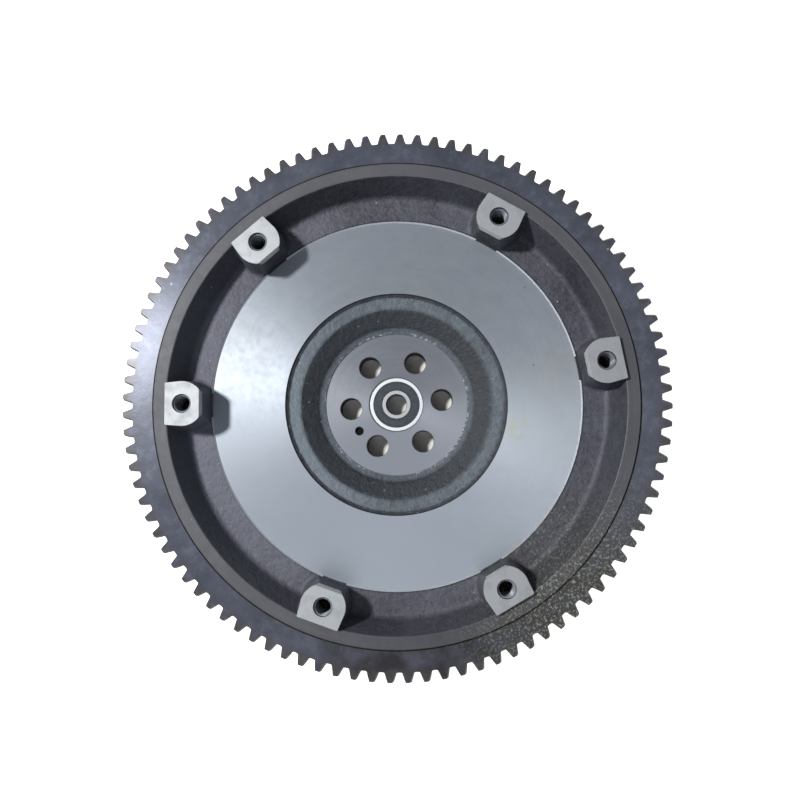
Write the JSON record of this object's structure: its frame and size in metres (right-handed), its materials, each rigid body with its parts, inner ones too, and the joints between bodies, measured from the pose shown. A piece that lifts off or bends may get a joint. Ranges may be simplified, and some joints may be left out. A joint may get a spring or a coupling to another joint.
{
  "type": "flywheel",
  "caption": "Cast-iron clutch flywheel with a starter ring gear on its rim, raised clutch cover bosses, a ground friction face and a sealed pilot bearing.",
  "frame": {"origin": "centre of the crankshaft face, which is the rear face of the hub", "axes": "+Z along the crankshaft's axis, from the engine towards the clutch; +X through the centre of one crankshaft bolt hole"},
  "size_m": [0.3098, 0.3098, 0.043],
  "materials": {
    "cast_iron_body": "as cast, with a ground friction face and milled boss tops",
    "gear_steel": "dark hardened steel, lightly worn",
    "bearing_steel": "ground bright",
    "cage_steel": "pressed",
    "seal_rubber": "matt"
  },
  "bodies": {
    "flywheel": {"flywheel_casting": "cast_iron_body", "ring_gear": "gear_steel", "bearing_outer_ring": "bearing_steel", "front_seal_rubber": "seal_rubber", "front_seal_core": "cage_steel", "rear_seal_rubber": "seal_rubber", "rear_seal_core": "cage_steel"},
    "inner_race": {"bearing_inner_ring": "bearing_steel"},
    "cage": {"cage_front_half": "cage_steel", "cage_rear_half": "cage_steel", "cage_rivets": "cage_steel"},
    "ball_1": {"bearing_ball_1": "bearing_steel"},
    "ball_2": {"bearing_ball_2": "bearing_steel"},
    "ball_3": {"bearing_ball_3": "bearing_steel"},
    "ball_4": {"bearing_ball_4": "bearing_steel"},
    "ball_5": {"bearing_ball_5": "bearing_steel"},
    "ball_6": {"bearing_ball_6": "bearing_steel"},
    "ball_7": {"bearing_ball_7": "bearing_steel"}
  },
  "joints": [
    {"name": "inner_race_spin", "type": "hinge", "parent": "flywheel", "child": "inner_race", "pos_m": [0, 0, 0.0086], "axis": [0, 0, 1], "continuous": true},
    {"name": "cage_spin", "type": "hinge", "parent": "flywheel", "child": "cage", "pos_m": [0, 0, 0.0086], "axis": [0, 0, 1], "continuous": true},
    {"name": "ball_1_spin", "type": "hinge", "parent": "cage", "child": "ball_1", "pos_m": [0.011, 0, 0.0086], "axis": [0, 0, 1], "continuous": true},
    {"name": "ball_2_spin", "type": "hinge", "parent": "cage", "child": "ball_2", "pos_m": [0.00686, 0.0086, 0.0086], "axis": [0, 0, 1], "continuous": true},
    {"name": "ball_3_spin", "type": "hinge", "parent": "cage", "child": "ball_3", "pos_m": [-0.00245, 0.01072, 0.0086], "axis": [0, 0, 1], "continuous": true},
    {"name": "ball_4_spin", "type": "hinge", "parent": "cage", "child": "ball_4", "pos_m": [-0.00991, 0.00477, 0.0086], "axis": [0, 0, 1], "continuous": true},
    {"name": "ball_5_spin", "type": "hinge", "parent": "cage", "child": "ball_5", "pos_m": [-0.00991, -0.00477, 0.0086], "axis": [0, 0, 1], "continuous": true},
    {"name": "ball_6_spin", "type": "hinge", "parent": "cage", "child": "ball_6", "pos_m": [-0.00245, -0.01072, 0.0086], "axis": [0, 0, 1], "continuous": true},
    {"name": "ball_7_spin", "type": "hinge", "parent": "cage", "child": "ball_7", "pos_m": [0.00686, -0.0086, 0.0086], "axis": [0, 0, 1], "continuous": true}
  ],
  "couplings": [
    {"joint": "cage_spin", "follows": "inner_race_spin", "ratio": 0.36471},
    {"joint": "ball_1_spin", "follows": "inner_race_spin", "ratio": -1.7125},
    {"joint": "ball_2_spin", "follows": "inner_race_spin", "ratio": -1.7125},
    {"joint": "ball_3_spin", "follows": "inner_race_spin", "ratio": -1.7125},
    {"joint": "ball_4_spin", "follows": "inner_race_spin", "ratio": -1.7125},
    {"joint": "ball_5_spin", "follows": "inner_race_spin", "ratio": -1.7125},
    {"joint": "ball_6_spin", "follows": "inner_race_spin", "ratio": -1.7125},
    {"joint": "ball_7_spin", "follows": "inner_race_spin", "ratio": -1.7125}
  ]
}
